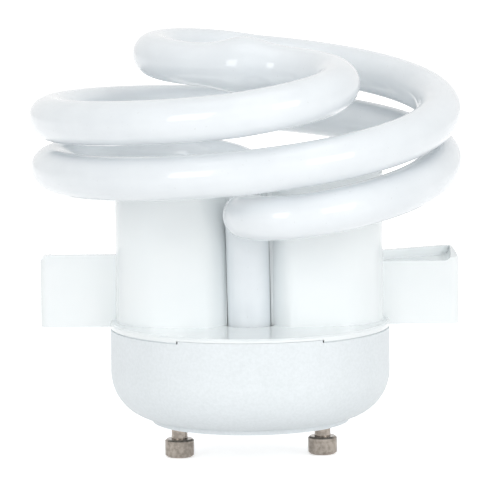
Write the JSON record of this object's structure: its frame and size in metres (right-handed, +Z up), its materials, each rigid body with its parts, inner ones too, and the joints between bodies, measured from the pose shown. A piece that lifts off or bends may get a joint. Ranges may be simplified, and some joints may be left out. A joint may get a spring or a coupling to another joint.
{
  "type": "spiral energy saving bulb",
  "caption": "Compact fluorescent lamp: double spiral glass tube on a round ballast housing with finger wings and a two-pin twist-lock base.",
  "frame": {"origin": "centre of the bottom face of the base disc, on the lamp's axis", "axes": "+Z up the lamp's axis from the pins to the crossing of the tube, +X to the right wing, -Y to the front leg"},
  "size_m": [0.0717, 0.0721, 0.0705],
  "materials": {
    "matte_white": "fine textured matte white moulding",
    "gloss_white": "smooth glossy white moulding",
    "nickel": "turned and nickel plated",
    "coated_glass": "clear glossy glass over an opaque white coating",
    "cement": "matte white cement",
    "tinned_wire": "tinned wire",
    "capacitor_sleeve": "dark sleeve over a drawn can",
    "ferrite": "dark ground ferrite",
    "bobbin": "black moulding",
    "copper": "enamelled copper wire",
    "epoxy": "black moulded resin",
    "film_case": "dipped resin",
    "board": "bare laminate"
  },
  "bodies": {
    "root": {"lower_housing": "matte_white", "base_pin_left": "nickel", "base_pin_right": "nickel", "upper_housing": "gloss_white", "glass_tube": "coated_glass", "tube_cement_front": "cement", "tube_cement_rear": "cement", "filament_leads_front": "tinned_wire", "filament_leads_rear": "tinned_wire", "mains_lead_left": "tinned_wire", "mains_lead_right": "tinned_wire", "bulk_capacitor": "capacitor_sleeve", "inductor_core": "ferrite", "inductor_bobbin": "bobbin", "inductor_winding": "copper", "drive_ring_core": "ferrite", "drive_ring_winding": "copper", "transistor_left": "epoxy", "transistor_right": "epoxy", "tube_capacitor": "film_case", "start_capacitor": "film_case", "rectifier_diodes": "epoxy", "line_choke_core": "ferrite", "line_choke_winding": "copper", "fuse_resistor": "film_case", "thermistor": "epoxy", "component_leads": "tinned_wire", "circuit_board": "board"}
  },
  "joints": []
}
